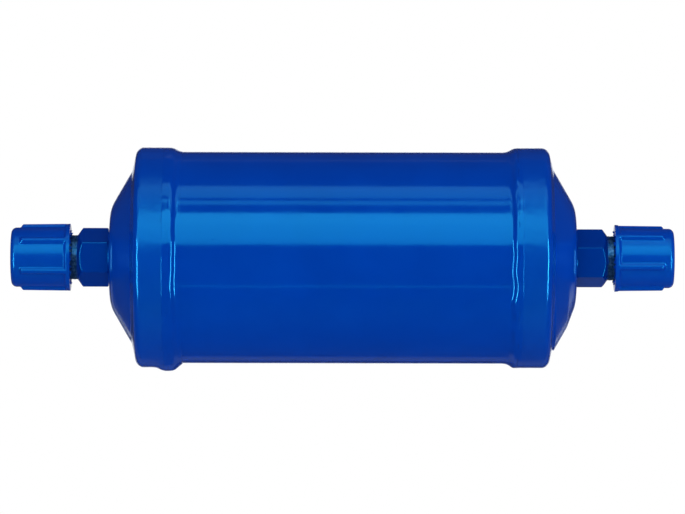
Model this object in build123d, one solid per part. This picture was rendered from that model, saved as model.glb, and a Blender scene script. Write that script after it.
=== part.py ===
from build123d import *
import math
import os

# Liquid-line filter drier, in millimetres. X runs along the shell from inlet (-X)
# to outlet (+X), Z is up, and the origin is the middle of the shell on its axis.
# Each end is modelled pointing along +X; the inlet's pieces are then turned half
# a revolution about Z.

# Shell
TUBE_R = 38.05  # 3 in tube
TUBE_LENGTH = 143.0
SHEET = 1.5  # wall of the tube and of the drawn caps

# Drawn end caps, slipped over the tube
SLIP = 0.05  # radial clearance of the skirt on the tube
SKIRT_OVERLAP = 9.0
FACE_WIDTH = 8.6  # annular face, from the skirt's outside in to the dome
FACE_TILT = 12.0  # annular face, from square to the axis
DOME_HEIGHT = 8.4
CONE_ANGLE = 60.0  # dome's cone, from the axis
SHOULDER_ROUND = 12.7
KINK_ROUND = 1.0
CORNER_ROUND = 2.7

# Fillet weld at the mouth of the skirt
WELD_LEG = 4.2
WELD_CROWN = 0.35

# Flare fitting, 3/8 in SAE, 5/8-18 UNF
THREAD_R = 7.94
PORT_R = 3.75
BRAZE_GAP = 0.1
STEM_STEP = 1.25  # from the collar in to the stem
STEM_INSIDE = 2.0  # how far the stem stands inside the cap
COLLAR = 1.0
BRAZE_WIDTH = 1.3
BRAZE_RISE = 0.9  # shares of the collar's length
BRAZE_HOLLOW = 0.32
HEX_ACROSS = 18.3
HEX_LENGTH = 10.0
HEX_CHAMFER = 2.47  # radial depth at the hexagon's corners
HEX_BACK_CHAMFER = 0.97
CHAMFER_ANGLE = 30.0
SHANK = 2.2  # plain length between the hexagon's face and the thread
SHANK_STEP = 0.09
THREADED_END = 17.0  # hexagon's face to the tip
THREAD_DEPTH = 0.89
NOSE = 2.15
INLET_HEX_TURN = 30.0
OUTLET_HEX_TURN = 42.0

# Seal cap
SEAL_STANDOFF = 2.9  # hexagon's face to the cap's mouth
THREAD_CLEARANCE = 0.11
SEAL_WALL = 2.8
SEAL_DRAFT = 0.3
SEAL_CORNER = 1.9
SEAL_CROWN = 0.3
END_WALL = 2.0
POCKET_DEPTH = 3.9
POCKET_LAND = 2.45  # shoulder that backs the gasket
MOUTH_CHAMFER = 0.5
FLANGE = 1.0
FLANGE_OUT = 1.25
FLANGE_ROOT = 0.7
RIB_COUNT = 8
RIB_WIDTH = 1.2
RIB_OUT_MOUTH = 1.2
RIB_OUT_END = 1.35
RIB_SETBACK = 4.1
RIB_SLOPE = 45.0
RIB_SINK = 0.5  # how far a rib's root stands in the wall
INLET_RIB_TURN = 161.0
OUTLET_RIB_TURN = 7.0
GASKET = 1.5
GASKET_GAP = 0.3

# Inside
SUPPORT_PLATE = 1.2
SUPPORT_LAND = 0.45  # how far its rim stands over the tube's end
SUPPORT_GAP = 0.091  # rim to the outlet cap's face
SCREEN = 0.8
PAD = 4.2
PACK_GAP = 0.15
ANNULUS = 3.55  # passage between the core and the tube
CORE_LENGTH = 111.5
CORE_EDGE = 1.5
CAVITY_R = 9.0
CAVITY_DRAFT = 1.5
CAVITY_DEPTH = 84.5
RING = 6.0
RING_GAP = 0.1
SPRING_PLATE = 1.0
SPRING_PLATE_GAP = 0.35
SPRING_PAD = 0.8
SPRING_PAD_GAP = 1.4
WIRE_R = 1.1
SPRING_TURNS = 4
SPRING_SPREAD = 12.5  # growth of the coil's radius towards the core
SPRING_STEM_GAP = 2.0
SPRING_SEAT_GAP = 0.12
HOLE_R = 2.4
HOLE_PITCH = 8.4
SPRING_PLATE_PITCH = 9.0

# Worked out from the sizes above
TUBE_END = TUBE_LENGTH / 2
TUBE_BORE_R = TUBE_R - SHEET
SKIRT_BORE_R = TUBE_R + SLIP
SKIRT_R = SKIRT_BORE_R + SHEET
SKIRT_MOUTH = TUBE_END - SKIRT_OVERLAP
SUPPORT_R = TUBE_BORE_R + SUPPORT_LAND
KINK_R = SKIRT_R - FACE_WIDTH
FACE_RUN = math.tan(math.radians(FACE_TILT))
KINK_X = (
    TUBE_END
    + SUPPORT_PLATE
    + SUPPORT_GAP
    + SHEET / math.cos(math.radians(FACE_TILT))
    + (SUPPORT_R - KINK_R) * FACE_RUN
)
END_FACE = KINK_X + DOME_HEIGHT
END_INSIDE = END_FACE - SHEET
COLLAR_R = HEX_ACROSS / 2
STEM_R = COLLAR_R - STEM_STEP
HEX_START = END_FACE + COLLAR
HEX_FACE = HEX_START + HEX_LENGTH
HEX_CORNER_R = HEX_ACROSS / 2 / math.cos(math.radians(30))
TIP = HEX_FACE + THREADED_END
SHANK_R = THREAD_R - SHANK_STEP
SEAL_MOUTH = HEX_FACE + SEAL_STANDOFF
GASKET_SEAT = TIP + GASKET
POCKET_END = GASKET_SEAT + POCKET_DEPTH
SEAL_END = POCKET_END + END_WALL
SEAL_BORE_R = THREAD_R + THREAD_CLEARANCE
SEAL_R_MOUTH = SEAL_BORE_R + SEAL_WALL
SEAL_R_END = SEAL_R_MOUTH - SEAL_DRAFT
PACK_R = TUBE_BORE_R - PACK_GAP
SCREEN_START = TUBE_END - SCREEN
CORE_END = SCREEN_START - PAD
CORE_START = CORE_END - CORE_LENGTH
CORE_R = TUBE_BORE_R - ANNULUS
SPRING_PLATE_START = CORE_START - SPRING_PLATE
SPRING_R_SMALL = STEM_R + SPRING_STEM_GAP + WIRE_R
SPRING_R_LARGE = SPRING_R_SMALL + SPRING_SPREAD
SPRING_PAD_R = SPRING_R_LARGE - WIRE_R - SPRING_PAD_GAP


def turned(*points):
    """Solid of revolution about X from corners (x, radius)."""
    return revolve(make_face(Polyline(*points, close=True)), Axis.X)


def disc(start, end, radius):
    return turned((start, 0), (start, radius), (end, radius), (end, 0))


def inset(points, depth):
    """Open path moved sideways by depth, to the left of its direction, mitred."""
    ways = []
    for start, end in zip(points, points[1:]):
        length = math.dist(start, end)
        ways.append(((end[0] - start[0]) / length, (end[1] - start[1]) / length))
    moved = []
    for index, (x, r) in enumerate(points):
        before = ways[max(index - 1, 0)]
        after = ways[min(index, len(ways) - 1)]
        left = (-before[1] - after[1], before[0] + after[0])
        share = depth / (1 + before[0] * after[0] + before[1] * after[1])
        moved.append((x + left[0] * share, r + left[1] * share))
    return moved


def at_inlet(shape):
    return shape.rotate(Axis.Z, 180)


def shell_tube():
    return turned(
        (-TUBE_END, TUBE_BORE_R),
        (-TUBE_END, TUBE_R),
        (TUBE_END, TUBE_R),
        (TUBE_END, TUBE_BORE_R),
    )


def end_cap():
    """Drawn cap: skirt, tilted annular face, coned dome and flat end with its hole."""
    hole_r = STEM_R + BRAZE_GAP
    flat_r = KINK_R - DOME_HEIGHT * math.tan(math.radians(CONE_ANGLE))
    outer = [
        (END_FACE, hole_r),
        (END_FACE, flat_r),
        (KINK_X, KINK_R),
        (KINK_X - FACE_WIDTH * FACE_RUN, SKIRT_R),
        (SKIRT_MOUTH, SKIRT_R),
    ]
    inner = inset(outer, SHEET)
    outer_rounds = [SHOULDER_ROUND, KINK_ROUND, CORNER_ROUND]
    inner_rounds = [SHOULDER_ROUND - SHEET, KINK_ROUND + SHEET, CORNER_ROUND - SHEET]
    section = FilletPolyline(*outer, radius=outer_rounds)
    section += FilletPolyline(*inner, radius=inner_rounds)
    section += Line(outer[0], inner[0])
    section += Line(outer[-1], inner[-1])
    return revolve(make_face(section), Axis.X)


def weld_bead():
    """Fillet weld on the tube, against the skirt's mouth, with a full crown."""
    toe = (SKIRT_MOUTH - WELD_LEG, SKIRT_BORE_R)
    root = (SKIRT_MOUTH, SKIRT_BORE_R)
    top = (SKIRT_MOUTH, SKIRT_R)
    leg = math.dist(toe, top)
    middle = (
        (toe[0] + top[0]) / 2 - WELD_CROWN * (top[1] - toe[1]) / leg,
        (toe[1] + top[1]) / 2 + WELD_CROWN * (top[0] - toe[0]) / leg,
    )
    section = ThreePointArc(toe, middle, top) + Polyline(top, root, toe)
    return revolve(make_face(section), Axis.X)


def hexagon(turn):
    """Hexagon bar with a cone turned on each end."""
    slope = math.tan(math.radians(CHAMFER_ANGLE))
    bar = Plane.YZ * RegularPolygon(HEX_CORNER_R, 6, rotation=turn)
    bar = Pos(HEX_START, 0, 0) * extrude(bar, HEX_LENGTH)
    reach = 2 * HEX_CORNER_R
    back_r = HEX_CORNER_R - HEX_BACK_CHAMFER
    front_r = HEX_CORNER_R - HEX_CHAMFER
    bar &= turned(
        (HEX_START, 0),
        (HEX_START, back_r),
        (HEX_START + (HEX_CORNER_R - back_r) * slope, HEX_CORNER_R),
        (HEX_START + HEX_LENGTH / 2, reach),
        (HEX_FACE - (HEX_CORNER_R - front_r) * slope, HEX_CORNER_R),
        (HEX_FACE, front_r),
        (HEX_FACE, 0),
    )
    return bar


def fitting(turn):
    """Flare fitting: stem, collar, hexagon, shank, thread and 45-degree nose."""
    tip_r = THREAD_R - THREAD_DEPTH - NOSE
    stem = turned(
        (END_INSIDE - STEM_INSIDE, 0),
        (END_INSIDE - STEM_INSIDE, STEM_R),
        (END_FACE, STEM_R),
        (END_FACE, COLLAR_R),
        (HEX_START, COLLAR_R),
        (HEX_START, SHANK_R),
        (HEX_FACE + SHANK, SHANK_R),
        (HEX_FACE + SHANK, THREAD_R),
        (TIP - NOSE - THREAD_DEPTH, THREAD_R),
        (TIP, tip_r),
        (TIP, 0),
    )
    port = disc(END_INSIDE - STEM_INSIDE, TIP, PORT_R)
    return hexagon(turn) + stem - port


def braze_ring():
    """Braze fillet in the corner between the cap's flat end and the collar."""
    foot = (END_FACE, COLLAR_R + BRAZE_WIDTH)
    root = (END_FACE, COLLAR_R)
    top = (END_FACE + COLLAR * BRAZE_RISE, COLLAR_R)
    middle = (
        END_FACE + COLLAR * BRAZE_HOLLOW,
        COLLAR_R + BRAZE_WIDTH * BRAZE_HOLLOW,
    )
    section = ThreePointArc(foot, middle, top) + Polyline(top, root, foot)
    return revolve(make_face(section), Axis.X)


def rib():
    """One rib along the seal cap, its far end sloped, on the +Y side."""
    start = SEAL_MOUTH + FLANGE / 2
    end = SEAL_END - RIB_SETBACK
    root_r = SEAL_R_END - RIB_SINK
    top_r = SEAL_R_END + RIB_OUT_END
    slope_end = end + (top_r - root_r) / math.tan(math.radians(RIB_SLOPE))
    side = Polyline(
        (start, root_r),
        (start, SEAL_R_MOUTH + RIB_OUT_MOUTH),
        (end, top_r),
        (slope_end, root_r),
        close=True,
    )
    return extrude(make_face(side), RIB_WIDTH / 2, both=True)


def seal_cap(turn):
    """Seal cap: flanged mouth, drafted wall, ribs, and a closed end with a pocket."""
    flange_end = SEAL_MOUTH + FLANGE
    wall_start = (flange_end + FLANGE_ROOT, SEAL_R_MOUTH)
    outside = FilletPolyline(
        wall_start,
        (SEAL_END - SEAL_CROWN, SEAL_R_END),
        (SEAL_END, 0),
        radius=[SEAL_CORNER],
    )
    outside += Polyline(
        (SEAL_END, 0),
        (SEAL_MOUTH, 0),
        (SEAL_MOUTH, SEAL_R_MOUTH + FLANGE_OUT),
        (flange_end, SEAL_R_MOUTH + FLANGE_OUT),
        (flange_end, SEAL_R_MOUTH + FLANGE_ROOT),
        wall_start,
    )
    body = revolve(make_face(outside), Axis.X)
    for index in range(RIB_COUNT):
        body += rib().rotate(Axis.X, turn + 360 / RIB_COUNT * index)
    body -= turned(
        (SEAL_MOUTH, 0),
        (SEAL_MOUTH, SEAL_BORE_R + MOUTH_CHAMFER),
        (SEAL_MOUTH + MOUTH_CHAMFER, SEAL_BORE_R),
        (GASKET_SEAT, SEAL_BORE_R),
        (GASKET_SEAT, SEAL_BORE_R - POCKET_LAND),
        (POCKET_END, SEAL_BORE_R - POCKET_LAND),
        (POCKET_END, 0),
    )
    return body


def gasket():
    return disc(TIP, GASKET_SEAT, SEAL_BORE_R - GASKET_GAP)


def core_spring():
    """Conical compression spring between the inlet cap and the spring plate."""
    start = -END_INSIDE + SPRING_SEAT_GAP + WIRE_R
    end = SPRING_PLATE_START - SPRING_SEAT_GAP - WIRE_R
    length = end - start
    path = Edge.make_helix(
        pitch=length / SPRING_TURNS,
        height=length,
        radius=SPRING_R_SMALL,
        center=(start, 0, 0),
        normal=(1, 0, 0),
        angle=math.degrees(math.atan(SPRING_SPREAD / length)),
    )
    wire = Plane(origin=path @ 0, z_dir=path % 0) * Circle(WIRE_R)
    return sweep(wire, path=path, is_frenet=True)


def perforated(plate, start, end, pitch, rings):
    """Plate with round holes on concentric rings, six more holes on each ring."""
    for ring in range(rings + 1):
        count = max(1, 6 * ring)
        for index in range(count):
            angle = math.tau * (index + ring % 2 / 2) / count
            y = ring * pitch * math.cos(angle)
            z = ring * pitch * math.sin(angle)
            plate -= Pos(0, y, z) * disc(start, end, HOLE_R)
    return plate


def spring_plate():
    """Perforated plate with a raised pad that centres the spring."""
    pad_start = SPRING_PLATE_START - SPRING_PAD
    plate = disc(SPRING_PLATE_START, CORE_START, TUBE_BORE_R - SPRING_PLATE_GAP)
    plate += disc(pad_start, CORE_START, SPRING_PAD_R)
    return perforated(plate, pad_start, CORE_START, SPRING_PLATE_PITCH, rings=3)


def support_plate():
    """Perforated plate, its rim between the tube's end and the outlet cap's face."""
    end = TUBE_END + SUPPORT_PLATE
    return perforated(disc(TUBE_END, end, SUPPORT_R), TUBE_END, end, HOLE_PITCH, rings=3)


def desiccant_core():
    """Moulded block with rounded edges and a blind cavity that opens to the outlet."""
    cavity_start = CORE_END - CAVITY_DEPTH
    outside = FilletPolyline(
        (CORE_START, 0),
        (CORE_START, CORE_R),
        (CORE_END, CORE_R),
        (CORE_END, CAVITY_R + CAVITY_DRAFT),
        (cavity_start, CAVITY_R),
        (cavity_start, 0),
        radius=[CORE_EDGE, 0, 0, CORE_EDGE],
    )
    section = outside + Line((cavity_start, 0), (CORE_START, 0))
    return revolve(make_face(section), Axis.X)


def core_seal_ring():
    start = CORE_END - RING
    inner_r = CORE_R + RING_GAP
    return turned(
        (start, inner_r), (start, PACK_R), (CORE_END, PACK_R), (CORE_END, inner_r)
    )


nodes = {
    "shell_tube": shell_tube(),
    "inlet_end_cap": at_inlet(end_cap()),
    "outlet_end_cap": end_cap(),
    "inlet_weld_bead": at_inlet(weld_bead()),
    "outlet_weld_bead": weld_bead(),
    "inlet_fitting": at_inlet(fitting(INLET_HEX_TURN)),
    "outlet_fitting": fitting(OUTLET_HEX_TURN),
    "inlet_braze_ring": at_inlet(braze_ring()),
    "outlet_braze_ring": braze_ring(),
    "inlet_seal_cap": at_inlet(seal_cap(INLET_RIB_TURN)),
    "outlet_seal_cap": seal_cap(OUTLET_RIB_TURN),
    "inlet_cap_gasket": at_inlet(gasket()),
    "outlet_cap_gasket": gasket(),
    "core_spring": core_spring(),
    "spring_plate": spring_plate(),
    "desiccant_core": desiccant_core(),
    "core_seal_ring": core_seal_ring(),
    "filter_pad": disc(CORE_END, SCREEN_START, PACK_R),
    "strainer_screen": disc(SCREEN_START, TUBE_END, PACK_R),
    "support_plate": support_plate(),
}

os.makedirs("parts", exist_ok=True)
for name, shape in nodes.items():
    export_step(shape, f"parts/{name}.step")
    box = shape.bounding_box()
    print(name, "volume", round(shape.volume), "low", box.min, "high", box.max)
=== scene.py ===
import math

import bpy
import numpy as np
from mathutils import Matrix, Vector

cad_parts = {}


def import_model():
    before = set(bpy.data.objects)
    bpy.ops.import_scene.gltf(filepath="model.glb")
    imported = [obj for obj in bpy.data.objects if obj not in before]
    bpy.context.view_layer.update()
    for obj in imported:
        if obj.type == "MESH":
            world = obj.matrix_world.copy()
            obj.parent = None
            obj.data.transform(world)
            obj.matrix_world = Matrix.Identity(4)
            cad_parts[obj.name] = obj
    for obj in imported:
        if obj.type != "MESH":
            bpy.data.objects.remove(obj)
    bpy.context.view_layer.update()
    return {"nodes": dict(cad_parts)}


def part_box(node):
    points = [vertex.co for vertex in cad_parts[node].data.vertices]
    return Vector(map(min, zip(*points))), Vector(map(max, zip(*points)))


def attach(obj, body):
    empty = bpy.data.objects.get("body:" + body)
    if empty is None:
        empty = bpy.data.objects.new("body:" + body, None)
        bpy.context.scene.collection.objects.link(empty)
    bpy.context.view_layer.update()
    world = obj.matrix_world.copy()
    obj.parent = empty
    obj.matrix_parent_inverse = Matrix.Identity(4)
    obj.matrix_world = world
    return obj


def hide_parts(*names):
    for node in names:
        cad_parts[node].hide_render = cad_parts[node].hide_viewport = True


# Looks of the liquid-line filter drier. Lengths here are in millimetres unless a name
# says metres. x runs along the shell, away from its middle at either end; r is the
# distance from its axis; theta turns from +Y towards +Z.

MM = 0.001
LIMIT_ROWS = 0.01  # closest two rows of a surface may lie

# Camera: its distance from the shell's axis, and the width that its frame covers there
CAMERA_BACK = 2000.0
FRAME_WIDTH = 246.6
AXIS_BELOW_MIDDLE = 0.29
CAMERA_ROLL = -0.12  # degrees
SENSOR = 36.0

# Surface sizes the solids don't hold
SHEET = 1.5
PITCH = 25.4 / 18
PROUD = 0.02  # how far a bead's edge lies over the sheet
AROUND = 39.0  # radius at which widths round the shell are given
COARSE = 4.0  # step between rows where a surface is plain
OUT_OF_ROUND = 0.006


# Sizes read from the frame
def reach(node, axis):
    """Largest coordinate of a CAD node along one axis, in millimetres."""
    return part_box(node)[1][axis] / MM


def start(node):
    """Smallest x of a CAD node, in millimetres."""
    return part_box(node)[0][0] / MM


# ---------------------------------------------------------------- mesh building

def signed_volume(points, faces):
    """Volume inside faces: a sixth of the sum of a . (b x c) over their triangles."""
    total = 0.0
    for second in range(1, faces.shape[1] - 1):
        a, b, c = (points[faces[:, corner]] for corner in (0, second, second + 1))
        total += (a * np.cross(b, c)).sum() / 6
    return total


def new_mesh(name, points, *faces):
    """Mesh object from points in millimetres and arrays of faces, turned to face out."""
    if sum(signed_volume(points, group) for group in faces) < 0:
        faces = [group[:, ::-1] for group in faces]
    mesh = bpy.data.meshes.new(name)
    mesh.from_pydata((points * MM).tolist(), [], sum((group.tolist() for group in faces), []))
    mesh.validate()
    mesh.shade_smooth()
    piece = bpy.data.objects.new(name, mesh)
    bpy.context.scene.collection.objects.link(piece)
    return piece


def skin(x, r, theta, loop=False):
    """Points and faces of a surface round the X axis.

    x and r are grids of rows along the section by columns round the axis:
    y = r cos(theta), z = r sin(theta). loop joins the last row to the first.
    """
    rows, columns = r.shape
    x = np.broadcast_to(x, r.shape)
    points = np.stack([x, r * np.cos(theta), r * np.sin(theta)], axis=-1).reshape(-1, 3)
    row = np.arange(rows if loop else rows - 1)[:, None]
    column = np.arange(columns)[None, :]
    after = (row + 1) % rows
    beside = (column + 1) % columns
    corners = (
        row * columns + column,
        after * columns + column,
        after * columns + beside,
        row * columns + beside,
    )
    faces = np.stack([np.broadcast_to(c, (row.size, columns)) for c in corners], axis=-1)
    return points, faces.reshape(-1, 4)


def closed_skin(x, r, theta, first, last):
    """A skin whose two ends are fans to the axis, at x = first and x = last."""
    points, quads = skin(x, r, theta)
    count = len(points)
    column = np.arange(theta.size)
    beside = (column + 1) % theta.size
    end_row = count - theta.size
    near = np.stack([np.full(theta.size, count), column, beside], axis=-1)
    far = np.stack([end_row + column, np.full(theta.size, count + 1), end_row + beside], axis=-1)
    points = np.vstack([points, [(first, 0, 0), (last, 0, 0)]])
    return points, quads, np.vstack([near, far])


def even_turns(count):
    """Angles of count columns, spread evenly round the axis."""
    return np.arange(count) * math.tau / count


def gathered_turns(sectors, per_sector, first, at_middle):
    """Column angles, crowded at each sector's middle or at its two edges.

    With u from -1 to 1 across a sector, the share of the half sector is
    sin(pi u / 2) for crowded edges and u |u|^0.8 for a crowded middle.
    """
    u = (np.arange(per_sector) + 0.5) / per_sector * 2 - 1
    share = u * np.abs(u) ** 0.8 if at_middle else np.sin(math.pi / 2 * u)
    half = math.pi / sectors
    middles = first + np.arange(sectors) * 2 * half
    return (middles[:, None] + share[None, :] * half).ravel()


def rounded(corners, radii, step):
    """Points along a path of (x, r) corners, each rounded by an arc of its radius."""
    path = [np.array(corners[0], float)]
    for before, corner, after, radius in zip(corners, corners[1:], corners[2:], radii):
        before, corner, after = (np.array(p, float) for p in (before, corner, after))
        way_in = (corner - before) / np.linalg.norm(corner - before)
        way_out = (after - corner) / np.linalg.norm(after - corner)
        turn = math.acos(float(np.clip(way_in @ way_out, -1, 1)))
        if radius == 0 or turn < 1e-6:
            path.append(corner)
            continue
        tangent = radius * math.tan(turn / 2)
        side = way_out - way_in * (way_in @ way_out)
        side /= np.linalg.norm(side)
        centre = corner - way_in * tangent + side * radius
        count = max(3, min(math.ceil(radius * turn / step), math.ceil(math.degrees(turn) / 4.5)))
        for angle in np.linspace(0, turn, count + 1):
            forward = way_in * radius * math.sin(angle)
            path.append(centre - side * radius * math.cos(angle) + forward)
    path.append(np.array(corners[-1], float))
    return np.array(path)


def divided(path, step):
    """The same path with points added so that no two lie further apart than step."""
    dense = [path[0]]
    for a, b in zip(path, path[1:]):
        length = float(np.linalg.norm(b - a))
        if length < LIMIT_ROWS:
            continue
        parts = max(1, math.ceil(length / step))
        dense += [a + (b - a) * k / parts for k in range(1, parts + 1)]
    return np.array(dense)


def inset(points, depth):
    """Open path moved sideways by depth, to the left of its direction, mitred."""
    points = np.array(points, float)
    ways = np.diff(points, axis=0)
    ways /= np.linalg.norm(ways, axis=1)[:, None]
    before = np.vstack([ways[:1], ways])
    after = np.vstack([ways, ways[-1:]])
    left = np.stack([-before[:, 1] - after[:, 1], before[:, 0] + after[:, 0]], axis=1)
    share = depth / (1 + (before * after).sum(axis=1))
    return points + left * share[:, None]


def wave(theta, seed, lowest, highest):
    """Smooth random curve round the axis, about -1 to 1: a sum of sines of theta."""
    rng = np.random.default_rng(seed)
    total = np.zeros_like(theta)
    for turns in range(lowest, highest + 1):
        total += rng.normal() * np.sin(turns * theta + rng.uniform(0, math.tau))
    return total / math.sqrt(highest - lowest + 1)


def ripple(x, theta, seed, height, length):
    """Smooth random relief over x and the angle: a sum of sines of about one wavelength."""
    rng = np.random.default_rng(seed)
    waves = 14
    total = np.zeros(np.broadcast(x, theta).shape)
    for _ in range(waves):
        heading = rng.uniform(0, math.tau)
        number = math.tau / (length * rng.uniform(0.7, 1.5))
        turns = round(number * math.sin(heading) * AROUND)
        along = number * math.cos(heading) * x
        total += np.sin(along + turns * theta + rng.uniform(0, math.tau))
    return height * total / math.sqrt(waves / 2)


def bump(x, theta, place):
    """Swelling: height exp(-|dx|^power - dt^2).

    place holds x, the angle in degrees, the height, the length and width to which dx
    and dt are measured, and the power, 2 for a round top and 4 for a flat one.
    """
    at_x, at_theta, height, length, width, power = place
    turn = np.angle(np.exp(1j * (theta - math.radians(at_theta))))
    return height * np.exp(-(np.abs((x - at_x) / length) ** power) - (AROUND * turn / width) ** 2)


def swell(x, theta, places, inlet):
    """Sum of the swellings of one end."""
    turned = [(at_x, local_turn(at_theta, inlet), *size) for at_x, at_theta, *size in places]
    return sum(bump(x, theta, place) for place in turned)


def place_end(piece_points, inlet):
    """Turns an end's points half a revolution about Z for the inlet."""
    return piece_points * np.array([-1.0, -1.0, 1.0]) if inlet else piece_points


def local_turn(theta_degrees, inlet):
    """Angle in the end's own frame of an angle in the row's frame."""
    return (180.0 - theta_degrees) if inlet else theta_degrees


# ---------------------------------------------------------------- the shell

def shell_tube():
    """Welded tube: true outside and inside, very slightly out of round.

    r is less by OUT_OF_ROUND (1 + wave) cos^2(2.4 x / end).
    """
    tube_r = reach("shell_tube", 2)
    end = reach("shell_tube", 0)
    inside_r = tube_r - SHEET
    section = np.array([(-end, tube_r), (end, tube_r), (end, inside_r), (-end, inside_r)])
    loop = divided(np.vstack([section, section[:1]]), COARSE)[:-1]
    theta = even_turns(360)
    x = loop[:, :1]
    r = loop[:, 1:] - OUT_OF_ROUND * (1 + wave(theta, 3, 2, 7)) * np.cos(x / end * 2.4) ** 2
    return new_mesh("tube_shell", *skin(x, r, theta, loop=True))


# Marks in the drawn caps, and the start and stop of each weld, as bump() takes them
INLET_MARKS = [
    (64.6, 160.0, -0.10, 0.9, 1.1, 2),
    (66.6, 154.0, -0.06, 0.7, 0.8, 2),
    (62.9, 171.0, -0.16, 0.9, 1.3, 2),
    (70.6, 161.0, -0.03, 1.4, 2.6, 2),
]
OUTLET_MARKS = [
    (64.2, 152.0, -0.14, 0.8, 1.3, 2),
    (68.0, 166.0, 0.03, 0.5, 0.5, 2),
    (64.6, 115.0, 0.12, 1.4, 2.2, 2),
    (80.6, 210.0, 0.10, 0.3, 0.6, 2),
]
INLET_LUMPS = [(62.0, 266.0, 1.33, 4.1, 9.0, 4)]
OUTLET_LUMPS = [
    (62.6, 152.0, 0.16, 1.5, 6.5, 2),
    (61.6, 132.0, 0.22, 1.3, 4.0, 2),
    (60.9, 268.0, 0.2, 1.5, 5.0, 2),
]

# Drawn caps: x of the flat end, height of the dome, width of the tilted annular face
INLET_FACE = 83.6
OUTLET_FACE = 83.9
INLET_DOME = 8.1
OUTLET_DOME = 8.35
INLET_RING = 8.2
OUTLET_RING = 7.4
RING_LEAN = 1.78  # how far the annular face leans back over its width
CONE_ANGLE = 60.0  # of the dome from the axis, in degrees
FULLER_BELOW = 1.8  # how much further out the outlet's dome stands underneath


def end_cap(inlet):
    """Drawn cap: skirt, tilted annular face, coned dome and flat end.

    The skirt is wavy from its drawing, by a few hundredths of a millimetre, and the
    outlet's dome stands FULLER_BELOW further out underneath, as max(0, -sin theta)^1.5.
    """
    node = "inlet_end_cap" if inlet else "outlet_end_cap"
    face = INLET_FACE if inlet else OUTLET_FACE
    mouth = -reach(node, 0) if inlet else start(node)
    skirt_r = reach(node, 2)
    dome_height = INLET_DOME if inlet else OUTLET_DOME
    face_width = INLET_RING if inlet else OUTLET_RING
    kink = (face - dome_height, skirt_r - face_width)
    flat_r = kink[1] - dome_height * math.tan(math.radians(CONE_ANGLE))
    hole_r = 8.05
    shoulder = (kink[0] - RING_LEAN, skirt_r)
    corners = [(face, hole_r), (face, flat_r), kink, shoulder, (mouth, skirt_r)]
    outside = divided(rounded(corners, [12.7, 1.1, 2.8], 0.15), 0.6)
    inside = divided(rounded(inset(corners, SHEET), [11.2, 2.6, 1.3], 1.5)[::-1], COARSE)
    loop = np.vstack([outside, inside])
    outer = np.arange(len(loop))[:, None] < len(outside)
    theta = even_turns(360)
    x = loop[:, :1] + np.zeros((1, theta.size))
    r = loop[:, 1:] + np.zeros((1, theta.size))
    seed = 11 if inlet else 12
    drawn = np.exp(-(((loop[:, :1] - kink[0] + 1) / 4) ** 2)) * (loop[:, 1:] > 20)
    x = x + 0.05 * wave(theta, seed, 2, 6) * drawn
    on_skirt = np.clip((loop[:, 1:] - skirt_r + 1.6) / 1.2, 0, 1) * outer
    pull = 0.035 * wave(theta, seed + 5, 7, 16) + 0.012 * wave(theta, seed + 6, 24, 48)
    r = r + on_skirt * (pull + ripple(x, theta, seed + 8, 0.010, 3.2) - 0.05)
    if not inlet:
        past_ring = np.clip((loop[:, :1] - kink[0] + 0.4) / 0.8, 0, 1)
        on_cone = past_ring * np.clip((face - 1.2 - loop[:, :1]) / 2.0, 0, 1)
        r = r + FULLER_BELOW * np.clip(-np.sin(theta), 0, 1) ** 1.5 * on_cone
    places = INLET_MARKS + INLET_LUMPS if inlet else OUTLET_MARKS + OUTLET_LUMPS
    r = r + swell(x, theta, places, inlet) * outer
    points, faces = skin(x, r, theta, loop=True)
    return new_mesh(node.replace("end_cap", "drawn_cap"), place_end(points, inlet), faces)


WELD_TOE = 57.4
WELD_TOP = 64.2
INLET_WELD = 59.4  # x at the middle of the slope, before it wanders
OUTLET_WELD = 60.45
SKIRT_EDGE = 61.5


def weld_bead(inlet):
    """Fillet weld: an S-shaped slope from the tube up to the skirt.

    r = tube + rise / (1 + exp(-(x - middle) / steepness)), the middle wandering
    with theta, and fine ripples along the crown.
    """
    node = "inlet_weld_bead" if inlet else "outlet_weld_bead"
    tube_r = reach("shell_tube", 2)
    skirt_r = reach("inlet_end_cap", 2)
    seed = 21 if inlet else 22
    theta = even_turns(600)
    along = np.linspace(0, 1, 56)[:, None]
    x = WELD_TOE + (WELD_TOP - WELD_TOE) * along + np.zeros((1, theta.size))
    middle = INLET_WELD if inlet else OUTLET_WELD
    middle = middle + 0.6 * np.cos(theta) ** 2 + 0.16 * wave(theta, seed, 5, 26)
    crown = 0.24 * wave(theta, seed + 7, 4, 30)
    steepness = 0.43 + 0.30 * np.sin(theta) ** 2
    lift = 1 / (1 + np.exp(-(x - middle) / steepness))
    rise = skirt_r - tube_r
    uneven = 1 + 0.7 * wave(theta, seed + 3, 9, 60)
    full = 0.05 * np.exp(-(((x - 61.6 - crown) / 0.9) ** 2)) * uneven
    edge = PROUD * np.cos((along - 0.5) * math.pi) ** 0.5 - PROUD * 0.5
    r = tube_r + rise * lift + full + edge
    r = r + swell(x, theta, INLET_LUMPS if inlet else OUTLET_LUMPS, inlet)
    fade = np.clip(np.minimum(along, 1 - along) / 0.04, 0, 1)
    r = r - 0.12 * (1 - fade) ** 2
    under = np.where(x < SKIRT_EDGE, tube_r - 0.3, skirt_r - 0.3)
    base_x = x[::-11]
    base_r = under[::-11]
    points, faces = skin(np.vstack([x, base_x]), np.vstack([r, base_r]), theta, loop=True)
    return new_mesh(node.replace("bead", "seam"), place_end(points, inlet), faces)


# ---------------------------------------------------------------- fittings

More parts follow.
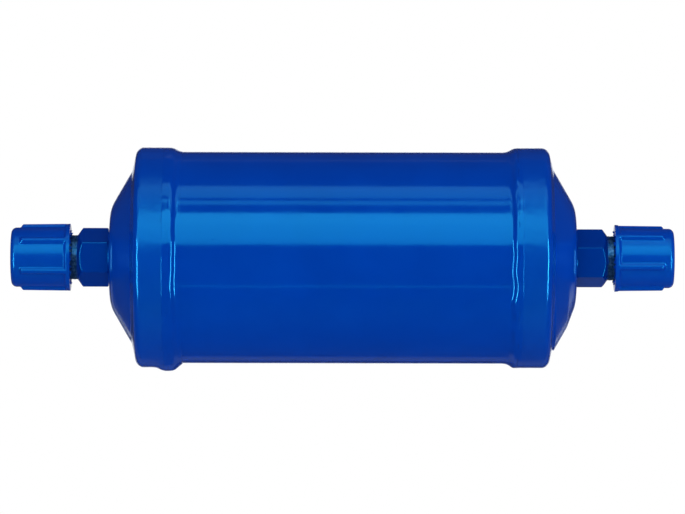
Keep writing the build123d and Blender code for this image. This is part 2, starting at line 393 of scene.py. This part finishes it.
STEM_START = 80.5
STEM_R = 7.9
HEX_START = 84.15
HEX_FACE = 95.1
HEX_ACROSS = 18.4
SHANK = 2.1
TIP = 112.0
NOSE_R = 4.9
THREAD_R = 7.98
ROOT_R = 7.05
BORE_R = 3.75
CHAMFER_R = 8.15
CHAMFER_RISE = 1.4
BACK_CHAMFER_R = 10.2
INLET_HEX_TURN = 30.0
OUTLET_HEX_TURN = 39.5
BRAZE_LEG = 0.62


def soft_min(a, b, width):
    """Smaller of two lengths, blended over width."""
    share = np.clip(0.5 + (b - a) / (2 * width), 0, 1)
    return a * share + b * (1 - share) - width * share * (1 - share)


def thread_radius(x, theta):
    """Right-hand thread: a triangle wave along x, cut flat at its crest and root."""
    phase = (x / PITCH - theta / math.tau) % 1.0
    ridge = 1 - np.abs(2 * phase - 1)
    height = np.clip(ridge * 1.35 - 0.16, 0, 1)
    return ROOT_R + (THREAD_R - ROOT_R) * height


def fitting(inlet):
    """Flare fitting: stem, chamfered hexagon, shank, thread, nose and bore.

    The hexagon is the softened smallest of its flats, r = half across / cos(angle from
    the flat's middle), its two chamfer cones and a blunted corner.
    """
    turn = math.radians(INLET_HEX_TURN if inlet else OUTLET_HEX_TURN)
    theta = gathered_turns(6, 34, turn + math.pi / 6, at_middle=False)
    rows = [
        np.linspace(STEM_START, HEX_START - 0.04, 4),
        np.linspace(HEX_START - 0.02, HEX_START + 0.7, 14),
        np.linspace(HEX_START + 1.0, 92.6, 9),
        np.linspace(92.7, HEX_FACE, 34),
        np.linspace(HEX_FACE + 0.01, HEX_FACE + SHANK, 8),
        np.linspace(HEX_FACE + SHANK + 0.1, TIP, 145),
    ]
    x = np.concatenate(rows)[:, None]
    across = theta - turn - math.pi / 6
    flat = np.mod(across + math.pi / 6, math.pi / 3) - math.pi / 6
    flats = HEX_ACROSS / 2 / np.cos(flat)
    corner_r = HEX_ACROSS / 2 / math.cos(math.pi / 6)
    flats = soft_min(flats, np.full_like(flats, corner_r - 0.04), 0.10)
    front = CHAMFER_R + (HEX_FACE - x) * CHAMFER_RISE
    back = BACK_CHAMFER_R + (x - HEX_START) * CHAMFER_RISE
    bar = soft_min(soft_min(flats, front, 0.30), back, 0.10)
    cut = np.clip((x - HEX_FACE - SHANK) / 1.6, 0.1, 1)
    thread = THREAD_R - (THREAD_R - thread_radius(x, theta)) * cut
    nose_r = NOSE_R + (TIP - x)
    thread = np.minimum(thread, nose_r)
    stem = STEM_R + 0 * theta
    r = np.where(x < HEX_START - 0.03, stem, np.where(x <= HEX_FACE, bar, thread))
    bore_x = np.array([TIP, TIP - 0.3, 96.0, STEM_START + 0.5, STEM_START])[:, None]
    flared = BORE_R + 0.3
    bore_r = np.array([flared, BORE_R, BORE_R, BORE_R, flared])[:, None] + 0 * theta
    points, faces = skin(np.vstack([x, bore_x]), np.vstack([r, bore_r]), theta, loop=True)
    name = "inlet_flare_fitting" if inlet else "outlet_flare_fitting"
    return new_mesh(name, place_end(points, inlet), faces)


def braze_ring(inlet):
    """Braze fillet: a hollow quarter round in the corner of cap and hexagon.

    r stands BRAZE_LEG (1 - sin angle) off the hexagon while x goes out by
    BRAZE_LEG (1 - cos angle).
    """
    theta = even_turns(240)
    s = np.linspace(0, 1, 14)[:, None]
    angle = s * math.pi / 2
    uneven = 1 + 0.10 * wave(theta, 31 if inlet else 32, 3, 14)
    foot = INLET_FACE if inlet else OUTLET_FACE
    r = HEX_ACROSS / 2 + BRAZE_LEG * (1 - np.sin(angle)) * uneven
    x = foot + BRAZE_LEG * (1 - np.cos(angle)) + 0 * theta
    sunk_r = HEX_ACROSS / 2 - 0.3
    base_r = np.array([sunk_r, sunk_r])[:, None] + 0 * theta
    base_x = np.array([foot + BRAZE_LEG - 0.1, foot - 0.1])[:, None] + 0 * theta
    points, faces = skin(np.vstack([x, base_x]), np.vstack([r, base_r]), theta, loop=True)
    name = "inlet_braze_fillet" if inlet else "outlet_braze_fillet"
    return new_mesh(name, place_end(points, inlet), faces)


# ---------------------------------------------------------------- seal caps

MOUTH = 97.85
SEAL_END = 119.4
CAP_R_MOUTH = 10.85
CAP_R_END = 10.66
LIP_R = 12.08
RIBS = 6
RIB_R_MOUTH = 12.04
RIB_R_END = 11.86
RIB_END = 115.05
RIB_CROWN = 0.3
RIB_FLANK = 1.4
INLET_RIB_TURN = 33.5
OUTLET_RIB_TURN = 16.1
CAP_BORE_R = 8.05
SEAT = 113.5  # where the gasket lies
POCKET_END = 117.4
POCKET_R = 5.6


def seal_cap(inlet):
    """Seal cap: lip, ribbed wall, rounded end, pocket and threaded bore.

    Over a rib the wall swells by half of 1 + cos, from the crown's edge to the flank's
    foot, and the rib's far end slopes down to the wall.
    """
    turn = math.radians(INLET_RIB_TURN if inlet else OUTLET_RIB_TURN)
    theta = gathered_turns(RIBS, 46, turn, at_middle=True)
    corners = [
        (MOUTH, 9.7),
        (MOUTH, LIP_R),
        (MOUTH + 1.3, LIP_R - 0.1),
        (MOUTH + 2.1, CAP_R_MOUTH),
        (SEAL_END - 0.35, CAP_R_END),
        (SEAL_END, 0),
    ]
    outside = divided(rounded(corners, [0.15, 0.35, 0.6, 1.9], 0.08), 0.4)[:-1]
    x = outside[:, :1]
    body = outside[:, 1:] + 0 * theta
    across = np.mod(theta - turn + math.pi / RIBS, math.tau / RIBS) - math.pi / RIBS
    sideways = np.abs(across) * (RIB_R_MOUTH + CAP_R_MOUTH) / 2
    top = RIB_R_MOUTH + (RIB_R_END - RIB_R_MOUTH) * (x - MOUTH) / (RIB_END - MOUTH)
    rib_top = soft_min(top, top - (x - RIB_END) * 1.6, 0.10) + 0 * theta
    side = 0.5 + 0.5 * np.cos(math.pi * np.clip((sideways - RIB_CROWN) / RIB_FLANK, 0, 1))
    on_wall = (x > MOUTH + 0.5) & (x < POCKET_END) & (outside[:, 1:] > 9.5)
    r = body + np.clip(rib_top - body, 0, None) * side * on_wall
    bore_rows = 105
    bore_x = np.linspace(SEAT - 0.2, MOUTH + 1.0, bore_rows)
    bore_r = np.full(bore_rows, CAP_BORE_R)
    inner_x = np.concatenate([[POCKET_END, SEAT, SEAT], bore_x, [MOUTH + 0.5]])
    inner_r = np.concatenate([[POCKET_R, POCKET_R, CAP_BORE_R], bore_r, [8.4]])
    inner_x = inner_x[:, None]
    inner_r = inner_r[:, None] + 0 * theta
    cut = (inner_x < SEAT - 0.1) & (inner_x > MOUTH + 0.8)
    groove = thread_radius(inner_x, theta) - ROOT_R
    inner_r = inner_r + np.where(cut, groove * 0.55, 0)
    torn = np.clip(0.5 + 0.6 * wave(theta, 41 if inlet else 42, 5, 40), 0, 1.2)
    flash_x = np.stack([MOUTH + 0.1 + 0 * torn, MOUTH - 0.55 * torn, MOUTH - 0.02 + 0 * torn])
    flash_r = np.stack([8.6 + 0 * torn, 9.2 + 0.5 * torn, 9.68 + 0 * torn])
    inner_x = np.broadcast_to(inner_x, inner_r.shape)
    x = np.vstack([inner_x, flash_x, np.broadcast_to(x, r.shape)])
    r = np.vstack([inner_r, flash_r, r])
    points, quads, fans = closed_skin(x, r, theta, POCKET_END, SEAL_END)
    name = "inlet_ribbed_cap" if inlet else "outlet_ribbed_cap"
    return new_mesh(name, place_end(points, inlet), quads, fans)


# ---------------------------------------------------------------- materials

def feed(tree, socket, value):
    """Gives a node's input its value: an output is linked to it, a number is set."""
    if isinstance(value, bpy.types.NodeSocket):
        tree.links.new(value, socket)
    else:
        socket.default_value = value


class Nodes:
    """Short way to lay out a material's nodes."""

    def __init__(self, name):
        """Starts a material; place is the point on the piece, in metres."""
        self.material = bpy.data.materials.new(name)
        self.material.use_nodes = True
        self.tree = self.material.node_tree
        self.shader = self.tree.nodes["Principled BSDF"]
        place = self.tree.nodes.new("ShaderNodeTexCoord")
        self.place = place.outputs["Object"]

    def add(self, kind, inputs=None, **settings):
        """New node with its inputs fed and its settings made."""
        node = self.tree.nodes.new(kind)
        for key, value in settings.items():
            setattr(node, key, value)
        for key, value in (inputs or {}).items():
            feed(self.tree, node.inputs[key], value)
        return node

    def set(self, **values):
        """Sets constants on the shader's own sockets."""
        for key, value in values.items():
            self.shader.inputs[key.replace("_", " ")].default_value = value

    def link(self, socket, key):
        """Links an output to the shader."""
        self.tree.links.new(socket, self.shader.inputs[key])

    def noise(self, scale, detail=2.0, rough=0.5, **more):
        """Noise over the piece, about 0 to 1."""
        inputs = {"Vector": self.place, "Scale": scale, "Detail": detail, "Roughness": rough}
        return self.add("ShaderNodeTexNoise", inputs, **more).outputs["Fac"]

    def ramp(self, factor, low, high, low_out=0.0, high_out=1.0):
        """Smooth step from low_out to high_out as the factor goes from low to high."""
        inputs = {"Value": factor, "From Min": low, "From Max": high,
                  "To Min": low_out, "To Max": high_out}
        node = self.add("ShaderNodeMapRange", inputs, interpolation_type="SMOOTHSTEP")
        return node.outputs["Result"]

    def math(self, operation, a, b=0.0):
        """Result of one sum on two numbers or sockets."""
        return self.add("ShaderNodeMath", {0: a, 1: b}, operation=operation).outputs["Value"]

    def choose(self, factor, a, b):
        """Number that goes from a to b with the factor."""
        inputs = {"Factor": factor, "A": a, "B": b}
        return self.add("ShaderNodeMix", inputs, data_type="FLOAT").outputs["Result"]

    def mix(self, factor, a, b):
        """Colour that goes from a to b with the factor."""
        node = self.add("ShaderNodeMix", data_type="RGBA")
        for key, value in (("Factor", factor), ("A", a), ("B", b)):
            kind = "VALUE" if key == "Factor" else "RGBA"
            socket = next(s for s in node.inputs if s.enabled and s.name == key and s.type == kind)
            feed(self.tree, socket, value)
        return next(s for s in node.outputs if s.type == "RGBA" and s.enabled)

    def bump(self, *layers):
        """Chain of bumps, each a height socket and the depth in metres of its full range."""
        normal = None
        for height, depth in layers:
            inputs = {"Height": height, "Distance": depth, "Strength": 1.0}
            if normal is not None:
                inputs["Normal"] = normal
            normal = self.add("ShaderNodeBump", inputs).outputs["Normal"]
        self.link(normal, "Normal")


BLUE = (0.0, 0.0495, 0.445, 1.0)
BLUE_DEEP = (0.0, 0.0445, 0.41, 1.0)
GLOSS_TINT = (0.020, 0.59, 1.0, 1.0)  # highlights are blue, though the lamps are neutral

# Where the drawn caps' finish changes, in metres from the shell's middle
CORNER_FROM, CORNER_TO = 0.0715, 0.0735
DOME_FROM, DOME_TO = 0.0755, 0.0775


def enamel_base(n, shade=1.0, rough=0.10):
    """Enamel's colour, gloss and orange peel, with a few dust nibs.

    shade scales the colour down, a painted shade that gives a darker copy of the
    enamel, and rough is the least roughness.
    """
    drift = n.noise(28.0, 3.0, 0.55)
    deep = tuple(c * shade for c in BLUE_DEEP[:3]) + (1.0,)
    full = tuple(c * shade for c in BLUE[:3]) + (1.0,)
    colour = n.mix(n.ramp(drift, 0.35, 0.65), deep, full)
    gloss = n.ramp(n.noise(160.0, 2.0), 0.3, 0.7, rough, rough + 0.04)
    n.set(IOR=1.6, Specular_IOR_Level=1.0, Specular_Tint=GLOSS_TINT)
    peel = n.noise(260.0, 2.0, 0.45)
    sag = n.noise(60.0, 1.0, 0.4)
    cells = n.add("ShaderNodeTexVoronoi", {"Vector": n.place, "Scale": 95.0}, feature="F1")
    nib = n.ramp(cells.outputs["Distance"], 0.018, 0.045, 1.0, 0.0)
    return colour, gloss, [(peel, 0.000011), (sag, 0.00003), (nib, 0.00004)]


def enamel(name, rough):
    """Glossy enamel, as on the tube and the welds."""
    n = Nodes(name)
    colour, gloss, layers = enamel_base(n, rough=rough)
    n.link(colour, "Base Color")
    n.link(gloss, "Roughness")
    n.bump(*layers)
    return n.material


def drawn_enamel():
    """Enamel on the drawn caps: mottled on the skirt, glossy at its corner, softer on the dome."""
    n = Nodes("drawn_enamel")
    colour, gloss, layers = enamel_base(n)
    split = n.add("ShaderNodeSeparateXYZ", {"Vector": n.place})
    along = n.math("ABSOLUTE", split.outputs["X"])
    patchy = n.ramp(n.noise(210.0, 3.0, 0.6), 0.35, 0.65, 0.24, 0.27)
    corner = n.choose(n.ramp(along, CORNER_FROM, CORNER_TO), patchy, gloss)
    n.link(colour, "Base Color")
    n.link(n.choose(n.ramp(along, DOME_FROM, DOME_TO), corner, 0.19), "Roughness")
    n.bump(*layers)
    return n.material


def cap_enamel():
    """Thin coat over moulded plastic: the same blue, softer gloss, a few pimples."""
    n = Nodes("cap_enamel")
    colour, _, layers = enamel_base(n)
    n.set(Specular_IOR_Level=0.86)
    n.link(colour, "Base Color")
    n.link(n.ramp(n.noise(240.0, 2.0), 0.3, 0.7, 0.20, 0.27), "Roughness")
    n.bump(*layers)
    return n.material


def thread_enamel():
    """Enamel on the fitting that fades over the thread to dark, oiled steel."""
    n = Nodes("fitting_enamel")
    # shade=0.72 is painted shade: the fitting's enamel is a darker copy of the tube's enamel
    colour, gloss, layers = enamel_base(n, shade=0.72, rough=0.11)
    split = n.add("ShaderNodeSeparateXYZ", {"Vector": n.place})
    along = n.math("ABSOLUTE", split.outputs["X"])
    edge = n.math("MULTIPLY", n.noise(420.0, 3.0, 0.6), 0.0022)
    past = n.math("ADD", along, edge)
    bare = n.ramp(past, (HEX_FACE + 0.6) * MM, (HEX_FACE + 2.0) * MM)
    grain = n.ramp(n.noise(900.0, 3.0, 0.7), 0.35, 0.75)
    steel = n.mix(grain, (0.003, 0.028, 0.12, 1), (0.06, 0.15, 0.33, 1))
    n.link(n.mix(bare, colour, steel), "Base Color")
    n.link(n.math("MULTIPLY", bare, 0.55), "Metallic")
    n.link(n.choose(bare, gloss, 0.30), "Roughness")
    n.bump(*layers)
    return n.material


def steel(name, colour, rough, scratch_scale):
    """Bare or plated steel with fine drawn scratches and a mottled sheen."""
    n = Nodes(name)
    spread = n.add("ShaderNodeVectorMath", {0: n.place, 1: (40.0, scratch_scale, scratch_scale)},
                   operation="MULTIPLY").outputs["Vector"]
    inputs = {"Vector": spread, "Scale": 1.0, "Detail": 3.0}
    lines = n.add("ShaderNodeTexNoise", inputs).outputs["Fac"]
    dark = tuple(c * 0.72 for c in colour) + (1.0,)
    n.link(n.mix(n.ramp(lines, 0.3, 0.7), dark, (*colour, 1.0)), "Base Color")
    n.link(n.ramp(n.noise(120.0, 2.0), 0.3, 0.7, rough - 0.06, rough + 0.08), "Roughness")
    n.set(Metallic=1.0)
    n.bump((lines, 0.000006))
    return n.material


def desiccant():
    """Moulded block of small bound beads."""
    n = Nodes("desiccant_block")
    beads = n.add("ShaderNodeTexVoronoi", {"Vector": n.place, "Scale": 620.0}, feature="F1")
    tone = n.mix(n.noise(90.0, 3.0), (0.50, 0.42, 0.32, 1), (0.68, 0.60, 0.48, 1))
    shade = n.ramp(beads.outputs["Distance"], 0.2, 0.75)
    n.link(n.mix(shade, tone, (0.34, 0.28, 0.21, 1)), "Base Color")
    n.set(Roughness=0.88)
    height = n.ramp(beads.outputs["Distance"], 0.0, 0.8, 1.0, 0.0)
    n.bump((height, 0.0004))
    return n.material


def fibre(name, dark, pale, scale):
    """Felt or polyester mat: fine tangled fibres."""
    n = Nodes(name)
    tangle = n.noise(scale, 6.0, 0.75, noise_type="RIDGED_MULTIFRACTAL")
    n.link(n.mix(n.ramp(tangle, 0.2, 1.2), dark, pale), "Base Color")
    n.set(Roughness=0.95, Sheen_Weight=0.3)
    n.bump((tangle, 0.0002))
    return n.material


def woven_screen():
    """Woven wire: two crossed sets of wires, over and under."""
    n = Nodes("woven_screen")
    split = n.add("ShaderNodeSeparateXYZ", {"Vector": n.place})
    half_turns = math.tau / 0.0009 / 2
    first = n.math("ABSOLUTE", n.math("SINE", n.math("MULTIPLY", split.outputs["Y"], half_turns)))
    second = n.math("ABSOLUTE", n.math("SINE", n.math("MULTIPLY", split.outputs["Z"], half_turns)))
    wires = n.math("MAXIMUM", first, second)
    # The gaps between the wires are painted near black: painted shade where the holes are
    painted_hole_shade, wire = (0.02, 0.02, 0.02, 1), (0.5, 0.5, 0.5, 1)
    n.link(n.mix(n.ramp(wires, 0.55, 0.85), painted_hole_shade, wire), "Base Color")
    n.set(Metallic=1.0, Roughness=0.35)
    n.bump((wires, 0.0002))
    return n.material


def rubber():
    """Black gasket rubber with a faint grey bloom."""
    n = Nodes("gasket_rubber")
    bloom = n.ramp(n.noise(300.0, 3.0), 0.35, 0.7)
    n.link(n.mix(bloom, (0.012, 0.012, 0.013, 1), (0.035, 0.035, 0.037, 1)), "Base Color")
    n.link(n.ramp(n.noise(150.0, 2.0), 0.3, 0.7, 0.55, 0.75), "Roughness")
    n.bump((n.noise(1400.0, 2.0), 0.00002))
    return n.material


# ---------------------------------------------------------------- stage and lights

FLOOR_DROP = 450.0
PAPER = (0.8, 0.8, 0.8, 1)
WHITE = (1, 1, 1, 1)
FLOOR_GLOW = 0.78  # share of the floor's white that doesn't depend on the lamps
FADE_FROM, FADE_TO = 0.5, 1.6  # metres over which the floor fades to plain white
SKY = 0.08


def seen_white(nodes_tree, plain):
    """Mix of plain, for most rays, and what camera, glossy and transmission rays see.

    The caller links the second of the two, which is white at strength 1.
    """
    path = nodes_tree.nodes.new("ShaderNodeLightPath")
    first = nodes_tree.nodes.new("ShaderNodeMath")
    first.operation = "MAXIMUM"
    second = nodes_tree.nodes.new("ShaderNodeMath")
    second.operation = "MAXIMUM"
    nodes_tree.links.new(path.outputs["Is Camera Ray"], first.inputs[0])
    nodes_tree.links.new(path.outputs["Is Glossy Ray"], first.inputs[1])
    nodes_tree.links.new(first.outputs["Value"], second.inputs[0])
    nodes_tree.links.new(path.outputs["Is Transmission Ray"], second.inputs[1])
    mix = nodes_tree.nodes.new("ShaderNodeMixShader")
    nodes_tree.links.new(second.outputs["Value"], mix.inputs["Fac"])
    nodes_tree.links.new(plain, mix.inputs[1])
    return mix


def floor():
    """Plain pale floor below the object.

    What the camera sees of it is white; near the object a share of that white is the
    light that really falls there, so the object's shadow shows, and the share falls
    smoothly to nothing towards the edge.
    """
    size = 3.5
    z = -FLOOR_DROP * MM
    corners = [(-size, -size, z), (size, -size, z), (size, size, z), (-size, size, z)]
    mesh = bpy.data.meshes.new("floor")
    mesh.from_pydata(corners, [], [(0, 1, 2, 3)])
    piece = bpy.data.objects.new("floor", mesh)
    bpy.context.scene.collection.objects.link(piece)
    material = bpy.data.materials.new("floor_paper")
    material.use_nodes = True
    tree = material.node_tree
    tree.nodes.clear()
    out = tree.nodes.new("ShaderNodeOutputMaterial")
    paper = tree.nodes.new("ShaderNodeBsdfDiffuse")
    paper.inputs["Color"].default_value = PAPER
    glow = tree.nodes.new("ShaderNodeEmission")
    glow.inputs["Strength"].default_value = FLOOR_GLOW
    shade = tree.nodes.new("ShaderNodeBsdfDiffuse")
    shade.inputs["Color"].default_value = PAPER
    both = tree.nodes.new("ShaderNodeAddShader")
    white = tree.nodes.new("ShaderNodeEmission")
    white.inputs["Strength"].default_value = 1.0
    place = tree.nodes.new("ShaderNodeTexCoord")
    far = tree.nodes.new("ShaderNodeVectorMath")
    far.operation = "LENGTH"
    fade = tree.nodes.new("ShaderNodeMapRange")
    fade.interpolation_type = "SMOOTHSTEP"
    fade.inputs["From Min"].default_value = FADE_FROM
    fade.inputs["From Max"].default_value = FADE_TO
    blend = tree.nodes.new("ShaderNodeMixShader")
    tree.links.new(place.outputs["Object"], far.inputs[0])
    tree.links.new(far.outputs["Value"], fade.inputs["Value"])
    tree.links.new(glow.outputs[0], both.inputs[0])
    tree.links.new(shade.outputs[0], both.inputs[1])
    tree.links.new(fade.outputs["Result"], blend.inputs["Fac"])
    tree.links.new(both.outputs[0], blend.inputs[1])
    tree.links.new(white.outputs[0], blend.inputs[2])
    mix = seen_white(tree, paper.outputs[0])
    tree.links.new(blend.outputs[0], mix.inputs[2])
    tree.links.new(mix.outputs[0], out.inputs["Surface"])
    piece.data.materials.append(material)


def world():
    """White background, and a low even light on everything."""
    sky = bpy.data.worlds.new("studio")
    bpy.context.scene.world = sky
    sky.use_nodes = True
    tree = sky.node_tree
    tree.nodes.clear()
    out = tree.nodes.new("ShaderNodeOutputWorld")
    fill = tree.nodes.new("ShaderNodeBackground")
    fill.inputs["Color"].default_value = WHITE
    fill.inputs["Strength"].default_value = SKY
    white = tree.nodes.new("ShaderNodeBackground")
    white.inputs["Color"].default_value = WHITE
    white.inputs["Strength"].default_value = 1.0
    mix = seen_white(tree, fill.outputs[0])
    tree.links.new(white.outputs[0], mix.inputs[2])
    tree.links.new(mix.outputs[0], out.inputs["Surface"])


def softbox(name, azimuth, elevation, distance, width, height, radiance):
    """Rectangular lamp that faces the object.

    azimuth turns from the camera's side towards +X; a square metre of it that glows
    with the given radiance takes pi times that many watts.
    """
    lamp = bpy.data.lights.new(name, "AREA")
    lamp.shape = "RECTANGLE"
    lamp.size = width
    lamp.size_y = height
    lamp.energy = math.pi * radiance * width * height
    box = bpy.data.objects.new(name, lamp)
    a = math.radians(azimuth)
    e = math.radians(elevation)
    way = Vector((math.sin(a) * math.cos(e), -math.cos(a) * math.cos(e), math.sin(e)))
    box.location = way * distance
    box.rotation_euler = way.to_track_quat("Z", "Y").to_euler()
    box.visible_camera = False
    bpy.context.scene.collection.objects.link(box)
    return box


def span(low, high, distance):
    """Length of a lamp that fills the angles from low to high at that distance."""
    return 2 * distance * math.tan(math.radians(high - low) / 2)


def strip(name, low, high, radiance, distance=1.2, width=2.4):
    """Softbox over the camera that fills the elevations from low to high."""
    height = span(low, high, distance)
    return softbox(name, 0, (low + high) / 2, distance, width, height, radiance)


BESIDE_X = 0.38  # how far the lamps beside the strips stand from the middle, in metres
CARD_BACK = 0.7
CARD_RADIANCE = 21.0


def lights():
    """Neutral lamps: the key softbox in four steps over the camera, and strips above it.

    Two thin strips draw fine lines along the tube. The lamps beside the strips and the
    bright card at each side show in the gloss and light nothing else. The fill lamps and
    the back lamp light the piece and don't show in the gloss.
    """
    steps = ((14.0, 20.0, 1.75), (20.0, 28.0, 2.0), (28.0, 36.0, 2.2), (36.0, 48.7, 2.45))
    for low, high, radiance in steps:
        strip("key", low, high, radiance)
    strip("upper", 67.0, 83.0, 0.9)
    strip("upper_edge", 58.5, 63.5, 1.1)
    for side, low, high, radiance in ((-1, 48.0, 62.0, 0.55), (1, 47.0, 67.0, 1.15)):
        beside = strip("beside", low, high, radiance, width=0.5)
        beside.location.x = side * BESIDE_X
        beside.visible_diffuse = False
    strip("line_high", 130.7, 131.3, 0.4)
    strip("line_low", -30.65, -30.15, 2.0, distance=0.8, width=1.6)
    for name, elevation, distance, width, height, radiance in (
        ("fill_front", -10.0, 1.6, 1.6, 0.9, 0.95),
        ("fill_low", -62.0, 0.43, 0.9, 0.24, 1.0),
    ):
        softbox(name, 0, elevation, distance, width, height, radiance).visible_glossy = False
    for name, azimuth, radiance in (("fill_left", -90.0, 0.8), ("fill_right", 90.0, 2.5)):
        softbox(name, azimuth, 8.0, 1.2, 0.8, 0.8, radiance).visible_glossy = False
    for side in (-1, 1):
        width = span(47.5, 54.5, CARD_BACK)
        height = span(-31.0, 15.0, CARD_BACK)
        card = softbox("side", 51 * side, -8.5, CARD_BACK, width, height, CARD_RADIANCE)
        card.visible_diffuse = False
    back = softbox("back", 180, 8.0, 1.6, 1.6, 0.8, 2.0)
    back.visible_glossy = False


def flag(name, corners, radiance):
    """Studio flag with a low even glow, which only reflections can see."""
    mesh = bpy.data.meshes.new(name)
    mesh.from_pydata(corners, [], [(0, 1, 2, 3)])
    piece = bpy.data.objects.new(name, mesh)
    bpy.context.scene.collection.objects.link(piece)
    material = bpy.data.materials.new(name)
    material.use_nodes = True
    tree = material.node_tree
    tree.nodes.clear()
    out = tree.nodes.new("ShaderNodeOutputMaterial")
    glow = tree.nodes.new("ShaderNodeEmission")
    glow.inputs["Strength"].default_value = radiance
    tree.links.new(glow.outputs[0], out.inputs["Surface"])
    mesh.materials.append(material)
    piece.visible_camera = False
    piece.visible_diffuse = False
    piece.visible_shadow = False


DARK = 0.03
PALE = 0.12
WINDOW = math.tan(math.radians(12.0))  # half the window's height over its distance


def flags():
    """Flags all round, with one window to the white behind the object."""
    side, front, back, top = 2.2, -2.6, 2.4, 2.2
    low = -FLOOR_DROP * MM + 0.015
    half = back * WINDOW
    for name, x in (("flag_left", -side), ("flag_right", side)):
        flag(name, [(x, front, low), (x, back, low), (x, back, top), (x, front, top)], DARK)
    for name, y, foot in (("flag_front", front, low), ("flag_back_high", back, half)):
        flag(name, [(-side, y, foot), (side, y, foot), (side, y, top), (-side, y, top)], DARK)
    for sign in (-1, 1):
        a, b = sign * half, sign * side
        corners = [(a, back, low), (b, back, low), (b, back, half), (a, back, half)]
        flag("flag_back_side", corners, DARK)
    near, far, edge = 0.43, 0.75, 2.0
    for name, a, b, z, radiance in (
        ("flag_top", front, back, top, DARK),
        ("flag_low_front", front, near, low, DARK),
        ("flag_low_pale", near, far, low, PALE),
        ("flag_low_back", far, edge, low, DARK),
    ):
        flag(name, [(-side, a, z), (side, a, z), (side, b, z), (-side, b, z)], radiance)


def camera():
    """Camera in front of the shell, level with its axis and rolled a little."""
    data = bpy.data.cameras.new("camera")
    data.sensor_width = SENSOR
    data.lens = SENSOR * CAMERA_BACK / FRAME_WIDTH
    data.clip_start = 0.05
    data.clip_end = 50.0
    eye = bpy.data.objects.new("camera", data)
    eye.location = (0.0, -CAMERA_BACK * MM, AXIS_BELOW_MIDDLE * MM)
    eye.rotation_euler = (math.pi / 2, math.radians(CAMERA_ROLL), 0.0)
    bpy.context.scene.collection.objects.link(eye)
    bpy.context.scene.camera = eye


# ---------------------------------------------------------------- the part, dressed

def dress(piece, material, body, slot, *nodes):
    """Gives a piece its material and body, and hides the CAD nodes that it stands for; slot is not
    used.
    """
    piece.data.materials.clear()
    piece.data.materials.append(material)
    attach(piece, body)
    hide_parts(*nodes)


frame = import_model()

paint = enamel("enamel", 0.10)
drawn_paint = drawn_enamel()
threaded = thread_enamel()
cap_paint = cap_enamel()
dress(shell_tube(), paint, "shell", "enamel", "shell_tube")
for end in ("inlet", "outlet"):
    at_inlet = end == "inlet"
    dress(end_cap(at_inlet), drawn_paint, "shell", "enamel", f"{end}_end_cap")
    dress(weld_bead(at_inlet), paint, "shell", "enamel", f"{end}_weld_bead")
    dress(fitting(at_inlet), threaded, "shell", "enamel", f"{end}_fitting")
    dress(braze_ring(at_inlet), paint, "shell", "enamel", f"{end}_braze_ring")
    dress(seal_cap(at_inlet), cap_paint, f"{end}_cap", "cap_plastic", f"{end}_seal_cap")

INNER = {
    "inlet_cap_gasket": rubber(),
    "core_spring": steel("spring_wire", (0.42, 0.42, 0.43), 0.3, 60.0),
    "spring_plate": steel("zinc_plate", (0.60, 0.61, 0.62), 0.34, 300.0),
    "desiccant_core": desiccant(),
    "core_seal_ring": fibre("felt", (0.52, 0.49, 0.42, 1), (0.76, 0.74, 0.68, 1), 700.0),
    "filter_pad": fibre("polyester_mat", (0.66, 0.68, 0.70, 1), (0.90, 0.91, 0.92, 1), 420.0),
    "strainer_screen": woven_screen(),
}
INNER["outlet_cap_gasket"] = INNER["inlet_cap_gasket"]
INNER["support_plate"] = INNER["spring_plate"]
for node, material in INNER.items():
    solid = frame["nodes"][node]
    for index in range(len(solid.material_slots)):
        solid.material_slots[index].material = material

floor()
world()
lights()
flags()
camera()
bpy.context.scene.view_settings.view_transform = "Standard"
